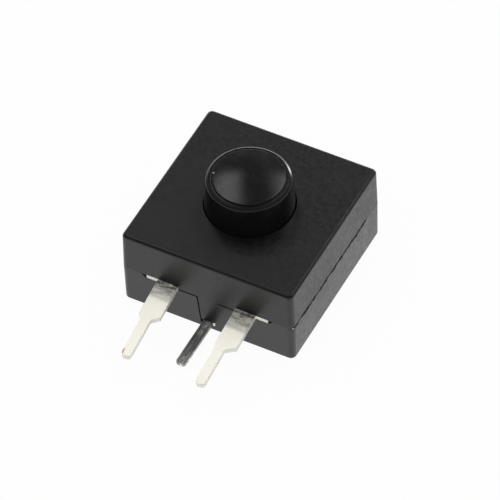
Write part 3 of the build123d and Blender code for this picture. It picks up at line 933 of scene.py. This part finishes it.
class SWITCH_OT_rivets(bpy.types.Operator):
    """Make the silver contact rivets of the plate and of the two strips"""
    bl_idname = "switch.rivets"
    bl_label = "Contact rivets"
    bl_options = {"REGISTER", "UNDO"}

    def execute(self, context):
        silver = sheet_finish("contact_silver", colours().silver, 0.18)
        low, high = node_low("moving_contact_1"), node_high("moving_contact_1")
        head = (high.x - low.x) / 2
        plate = node_low("contact_plate").z
        form = turned(rivet_profile(low.z, high.z, head, plate, True), RIVET_STEPS)
        bmesh.ops.translate(form, verts=form.verts[:], vec=((low.x + high.x) / 2, 0, 0))
        moving = new_piece("moving_rivets_finish", ring_of(form, 4, silver), silver)
        shade(moving)
        place(moving, "contact_carrier", "contact_silver",
              *(f"moving_contact_{number}" for number in range(1, 5)))
        for side in ("left", "right"):
            node = side + "_fixed_contact"
            low, high = node_low(node), node_high(node)
            profile = rivet_profile(low.z, high.z, head, high.z - RIVET_HEAD, False)
            form = turned(profile, RIVET_STEPS)
            middle = ((low.x + high.x) / 2, (low.y + high.y) / 2, 0)
            bmesh.ops.translate(form, verts=form.verts[:], vec=middle)
            fixed = new_piece(side + "_rivet_finish", form, silver)
            shade(fixed)
            place(fixed, "housing", "contact_silver", node)
        return {"FINISHED"}


class SWITCH_OT_return_spring(bpy.types.Operator):
    """Wind the return spring"""
    bl_idname = "switch.return_spring"
    bl_label = "Return spring"
    bl_options = {"REGISTER", "UNDO"}

    def execute(self, context):
        low, high = node_low("return_spring"), node_high("return_spring")
        wire = sizes().spring_wire / 2
        steel = sheet_finish("spring_wire", colours().steel, 0.24)
        piece = new_piece("return_spring_finish", bmesh.new(), steel)
        radius = high.x - wire - SPRING_GAP
        shape_by_tree(piece, wound_wire(), {
            "Turns": sizes().spring_turns, "Radius": radius, "Low": low.z, "High": high.z,
            "Wire": wire, "Material": steel})
        shade(piece)
        place(piece, "contact_carrier", "spring_wire", "return_spring")
        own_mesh(piece)
        return {"FINISHED"}


# ---- studio --------------------------------------------------------------------------------
def ray_masks(tree):
    """Masks of the rays that the eye sees directly or through glass, and of the mirrored ones."""
    path = add_node(tree, "ShaderNodeLightPath").outputs
    seen = maths(tree, "ADD", path["Is Camera Ray"], path["Is Transmission Ray"], clamp=True)
    return seen, path["Is Glossy Ray"]


def mixed(tree, share, first, second):
    """Mix of two shaders."""
    return add_node(tree, "ShaderNodeMixShader", {0: share, 1: first, 2: second}).outputs[0]


def table_finish():
    """White table that keeps a faint shadow of the switch and is white in reflections."""
    material, tree, shader, vector = new_material("white_table")
    tint = colours().table
    cloud = remap(tree, noise(tree, vector, 14.0, 3.0), 0.3, 0.7)
    feed(tree, shader, {"Base Color": blended(tree, cloud, scaled(tint, 0.99), tint),
                        "Roughness": 0.8, "Specular IOR Level": 0.2})
    seen, mirrored = ray_masks(tree)
    share = maths(tree, "MULTIPLY_ADD", seen, TABLE_WHITE, mirrored, clamp=True)
    white = add_node(tree, "ShaderNodeEmission", {"Strength": 1.0})
    surface = mixed(tree, share, shader.outputs[0], white.outputs[0])
    feed(tree, tree.nodes["Material Output"], {"Surface": surface})
    return material


def light_room():
    """Dim room all round, white past the table for the eye and low at the back in reflections."""
    world = bpy.data.worlds.new("studio room")
    world.use_nodes = True
    tree = world.node_tree
    room = bpy.context.scene.switch_studio.room
    x, y, up = split(tree, add_node(tree, "ShaderNodeTexCoord").outputs["Generated"])
    dim = tree.nodes["Background"]
    strength = remap(tree, up, 0.25, 0.7, 2.0 * room, room)
    feed(tree, dim, {"Color": ROOM_COLOUR, "Strength": strength})
    white = add_node(tree, "ShaderNodeBackground", {"Strength": 1.0, "Color": (1, 1, 1, 1)})
    away = maths(tree, "MULTIPLY", y, math.cos(CAMERA_TURN))
    away = maths(tree, "MULTIPLY_ADD", x, -math.sin(CAMERA_TURN), away)
    low = product(tree, remap(tree, up, 0.08, 0.22, 1.0, 0.0), remap(tree, away, 0.5, 0.8))
    seen, mirrored = ray_masks(tree)
    share = maths(tree, "ADD", seen, product(tree, mirrored, low), clamp=True)
    surface = mixed(tree, share, dim.outputs[0], white.outputs[0])
    feed(tree, tree.nodes["World Output"], {"Surface": surface})
    bpy.context.scene.world = world


def soften(lamp):
    """Lets a lamp fade towards its edges."""
    lamp.use_nodes = True
    tree = lamp.node_tree
    place_on_lamp = add_node(tree, "ShaderNodeNewGeometry").outputs["Parametric"]
    fades = []
    for side in split(tree, place_on_lamp)[:2]:
        from_middle = maths(tree, "ABSOLUTE", maths(tree, "SUBTRACT", side, 0.5))
        fades.append(remap(tree, from_middle, 0.5 - LAMP_FADE, 0.5, 1.0, 0.0))
    feed(tree, tree.nodes["Emission"], {"Strength": product(tree, *fades)})


def soft_box(name, spot, brightness, height=LAMP_HEIGHT, lean=0.0, mirrored=True):
    """Area lamp, level or leaning to the switch, as bright as given for the switch."""
    across, away, width, depth = spot
    lamp = bpy.data.lights.new(name, "AREA")
    lamp.shape = "RECTANGLE"
    lamp.size = width
    lamp.size_y = depth
    lamp.energy = brightness * math.pi * width * depth
    lamp.color = LAMP_COLOUR
    if mirrored:
        soften(lamp)
    holder = bpy.data.objects.new(name, lamp)
    bpy.context.scene.collection.objects.link(holder)
    aside = math.atan2(across, away) if lean else 0.0
    holder.rotation_euler = (-lean, 0.0, CAMERA_TURN - aside)
    holder.location = Matrix.Rotation(CAMERA_TURN, 3, "Z") @ Vector((across, away, height))
    holder.visible_camera = False
    holder.visible_glossy = mirrored


def place_camera():
    """Camera that looks down on the switch from in front and to its right."""
    forward = Vector(CAMERA_AIM).normalized()
    right = forward.cross(Vector(CAMERA_UP)).normalized()
    up = right.cross(forward)
    camera = bpy.data.cameras.new("studio camera")
    camera.sensor_width = CAMERA_SENSOR
    camera.lens = CAMERA_LENS
    camera.clip_start = 0.01
    camera.clip_end = 20.0
    holder = bpy.data.objects.new("studio camera", camera)
    bpy.context.scene.collection.objects.link(holder)
    turn = Matrix((right, up, -forward)).transposed()
    holder.matrix_world = Matrix.Translation(CAMERA_PLACE) @ turn.to_4x4()
    bpy.context.scene.camera = holder


class SWITCH_OT_stage(bpy.types.Operator):
    """Set the white table, the soft light and the camera"""
    bl_idname = "switch.stage"
    bl_label = "Studio"
    bl_options = {"REGISTER", "UNDO"}

    def execute(self, context):
        form = bmesh.new()
        bmesh.ops.create_grid(form, x_segments=4, y_segments=4, size=TABLE_HALF)
        table = new_piece("studio_table", form, table_finish())
        light_room()
        studio = context.scene.switch_studio
        right_strip = RIGHT_STRIP_SHARE * studio.back_strip
        soft_box("left soft box", LEFT_BOX, studio.left_box)
        soft_box("right soft box", RIGHT_BOX, studio.right_box)
        soft_box("back strip", BACK_STRIP, studio.back_strip, **STRIP_STAND)
        soft_box("right back strip", RIGHT_STRIP, right_strip, **STRIP_STAND)
        soft_box("bounced light", BOUNCED_LIGHT, studio.bounce, mirrored=False)
        place_camera()
        context.scene.view_settings.view_transform = "Standard"
        return {"FINISHED"}


# ---- add-on --------------------------------------------------------------------------------
PIECES = (SWITCH_OT_housing, SWITCH_OT_button, SWITCH_OT_outer_pins, SWITCH_OT_middle_pin,
          SWITCH_OT_rotor, SWITCH_OT_contact_plate, SWITCH_OT_rivets, SWITCH_OT_return_spring,
          SWITCH_OT_stage)
GROUPS = {"switch_sizes": SwitchSizes, "switch_colours": SwitchColours,
          "switch_studio": SwitchStudio}


class SWITCH_PT_panel(bpy.types.Panel):
    """Pieces, sizes and colours of the switch"""
    bl_idname = "SWITCH_PT_panel"
    bl_label = "Pushbutton switch"
    bl_space_type = "VIEW_3D"
    bl_region_type = "UI"
    bl_category = "Switch"

    def draw(self, context):
        for name, group in GROUPS.items():
            box = self.layout.box()
            for item in group.__annotations__:
                box.prop(getattr(context.scene, name), item)
        for piece in PIECES:
            self.layout.operator(piece.bl_idname)


def register():
    for kind in (*GROUPS.values(), *PIECES, SWITCH_PT_panel):
        bpy.utils.register_class(kind)
    for name, group in GROUPS.items():
        setattr(bpy.types.Scene, name, PointerProperty(type=group))


def unregister():
    for name in GROUPS:
        delattr(bpy.types.Scene, name)
    for kind in (SWITCH_PT_panel, *reversed(PIECES), *reversed(GROUPS.values())):
        bpy.utils.unregister_class(kind)


def main():
    """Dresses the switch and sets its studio."""
    register()
    for piece in PIECES:
        family, name = piece.bl_idname.split(".")
        getattr(getattr(bpy.ops, family), name)()


if __name__ == "__main__":
    main()
